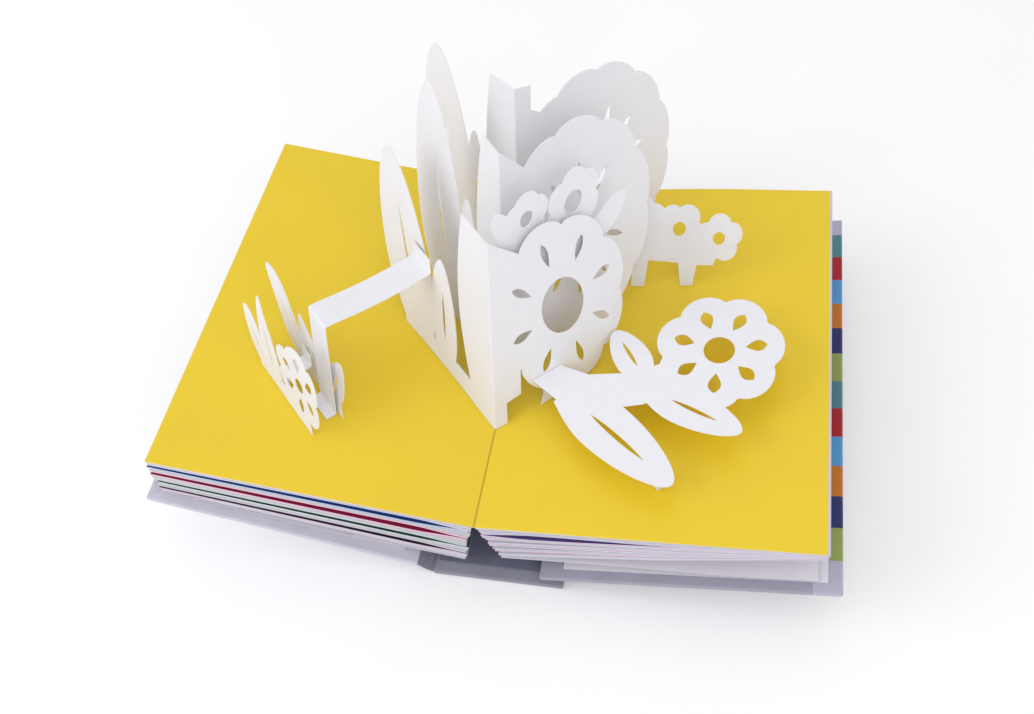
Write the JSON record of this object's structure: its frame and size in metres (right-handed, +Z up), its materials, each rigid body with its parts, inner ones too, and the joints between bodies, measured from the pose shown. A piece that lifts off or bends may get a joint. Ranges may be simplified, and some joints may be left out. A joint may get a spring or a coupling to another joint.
{
  "type": "pop up book",
  "caption": "Thick hardback pop-up book standing open on its spine, with folded white card leaves and blossoms rising from a plain yellow spread.",
  "frame": {"origin": "centre of the spine's flat underside, on the surface that the book stands on", "axes": "+Z up, +Y along the spine to the head of the book, +X to the right-hand page"},
  "size_m": [0.3365, 0.23, 0.1643],
  "materials": {
    "cover_paper": "matt-laminated grey paper over board",
    "spine_paper": "matt-laminated grey paper over board",
    "endpaper": "uncoated white paper",
    "pages": "silk-coated card printed yellow, white at the cut edges",
    "white_card": "smooth uncoated white card"
  },
  "bodies": {
    "book": {"spine_board": "spine_paper", "page_block": "pages", "front_hinge_leaf": "endpaper", "back_hinge_leaf": "endpaper", "front_fold": "white_card", "middle_fold": "white_card", "back_fold": "white_card", "arm_strip": "white_card", "left_leaves": "white_card", "left_blossom": "white_card", "left_link": "white_card", "flat_spray": "white_card", "spray_leg": "white_card", "garland_right": "white_card", "garland_middle": "white_card"},
    "front_board": {"front_cover": "cover_paper", "front_pastedown": "endpaper"},
    "back_board": {"back_cover": "cover_paper", "back_pastedown": "endpaper"}
  },
  "joints": [
    {"name": "front_cover_hinge", "type": "hinge", "parent": "book", "child": "front_board", "pos_m": [-0.0366, 0, 0.003], "axis": [0, -1, 0], "range_deg": [0, 95]},
    {"name": "back_cover_hinge", "type": "hinge", "parent": "book", "child": "back_board", "pos_m": [0.0314, 0, 0.004], "axis": [0, 1, 0], "range_deg": [0, 95]}
  ]
}
